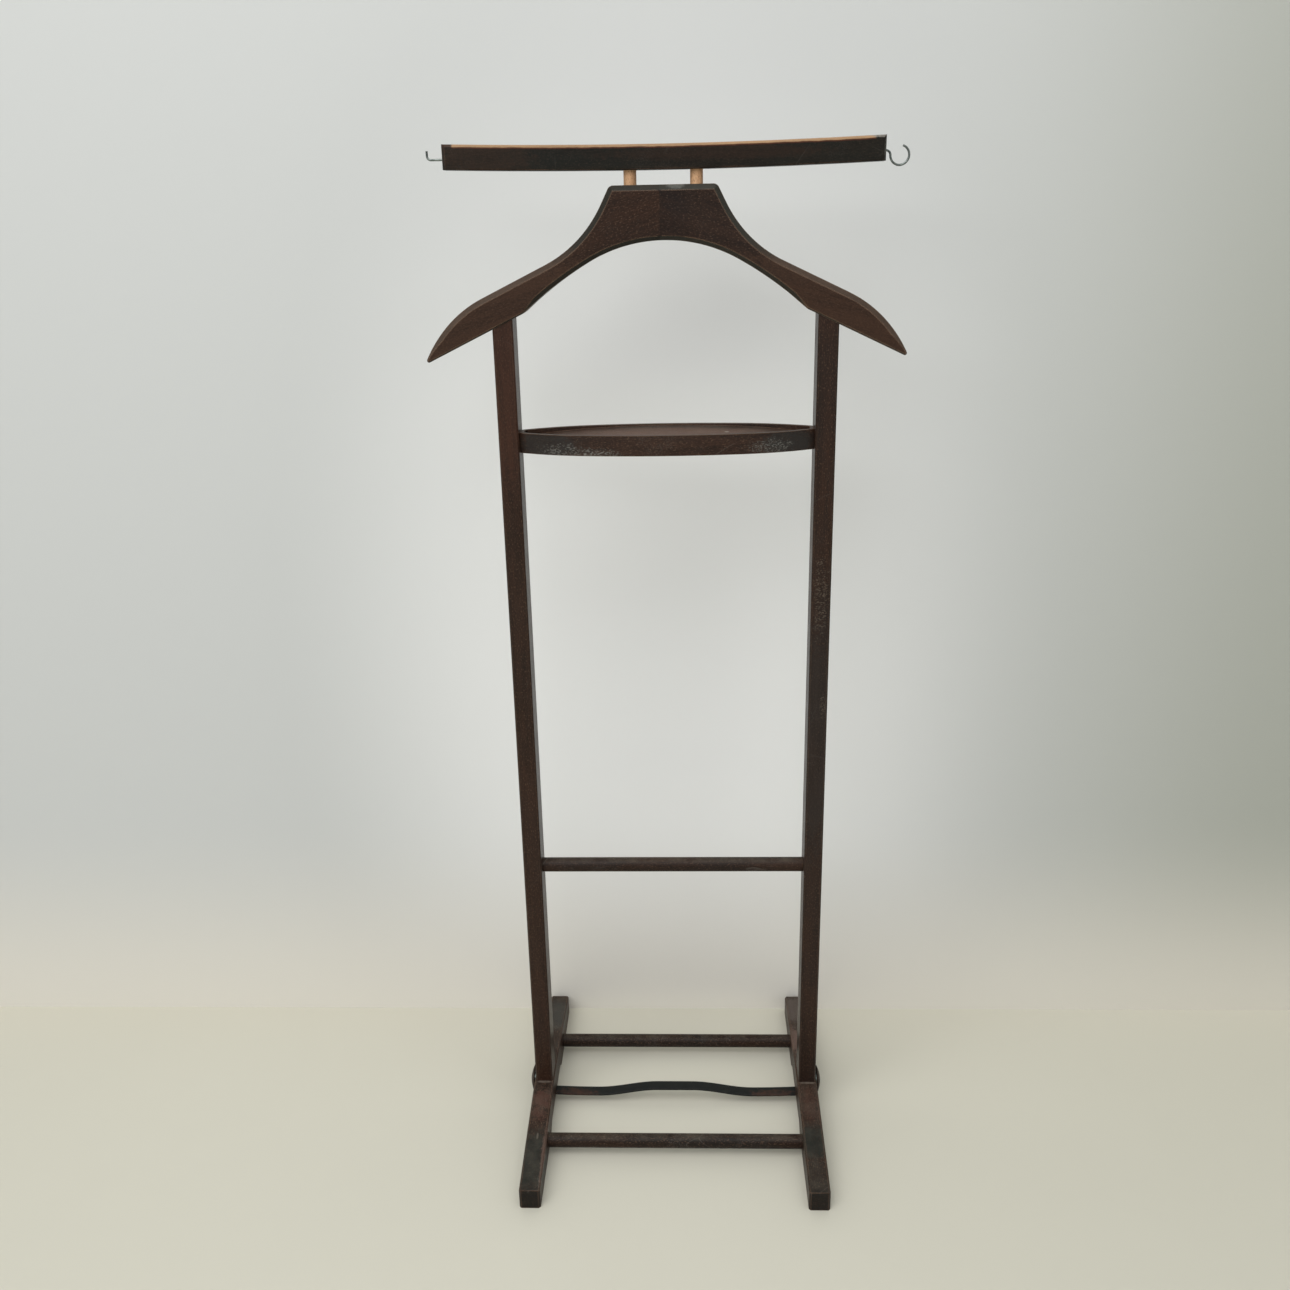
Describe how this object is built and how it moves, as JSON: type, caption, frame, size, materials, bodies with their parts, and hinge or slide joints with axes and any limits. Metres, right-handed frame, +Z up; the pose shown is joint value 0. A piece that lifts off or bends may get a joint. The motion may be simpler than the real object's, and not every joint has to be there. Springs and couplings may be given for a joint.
{
  "type": "valet stand",
  "caption": "Free-standing wooden valet stand with an arched hanger, a dished tray, a trouser rail, shoe rails and a hooked top bar that lifts on dowels.",
  "frame": {"origin": "on the floor, midway between the posts, on the posts' centre plane", "axes": "+X to the right along the hanger, +Y to the back along the feet, +Z up"},
  "size_m": [0.462, 0.35, 1.0778],
  "materials": {
    "post_wood": "satin dark brown stain over beech, worn along the edges",
    "foot_wood": "satin dark brown stain over beech, worn along the edges",
    "rail_wood": "satin dark brown stain over beech, worn along the edges",
    "tray_wood": "satin dark brown stain over beech, worn along the edges",
    "hanger_wood": "satin dark brown stain over beech, worn along the edges",
    "bar_wood": "dark brown stain, rubbed through to bare beech along the top edges",
    "bare_beech": "unstained sanded beech dowel",
    "strap_steel": "dark lacquered flat steel, rubbed near the ends",
    "zinc_steel": "dull zinc-plated steel wire",
    "insert_brass": "turned brass"
  },
  "bodies": {
    "stand": {"left_foot": "foot_wood", "right_foot": "foot_wood", "left_post": "post_wood", "right_post": "post_wood", "front_shoe_rail": "rail_wood", "rear_shoe_rail": "rail_wood", "centre_strap": "strap_steel", "trouser_rail": "rail_wood", "left_base_knob": "rail_wood", "right_base_knob": "rail_wood", "base_studs": "zinc_steel", "base_washers": "zinc_steel", "base_inserts": "insert_brass", "tray": "tray_wood", "tray_dowels": "bare_beech", "left_hanger_half": "hanger_wood", "right_hanger_half": "hanger_wood", "splice_dowels": "bare_beech", "post_dowels": "bare_beech"},
    "lifting_bar": {"trouser_bar": "bar_wood", "left_bar_dowel": "bare_beech", "right_bar_dowel": "bare_beech"},
    "right_hook": {"round_hook": "zinc_steel"},
    "left_hook": {"square_hook": "zinc_steel"}
  },
  "joints": [
    {"name": "bar_lift", "type": "slide", "parent": "stand", "child": "lifting_bar", "axis": [0, 0, 1], "range_m": [-0.0125, 0.02]},
    {"name": "right_hook_turn", "type": "hinge", "parent": "lifting_bar", "child": "right_hook", "pos_m": [0.2045, 0, 1.06465], "axis": [1, 0, 0], "range_deg": [-90, 90]},
    {"name": "left_hook_turn", "type": "hinge", "parent": "lifting_bar", "child": "left_hook", "pos_m": [-0.2045, 0, 1.06465], "axis": [1, 0, 0], "range_deg": [-90, 90]}
  ]
}
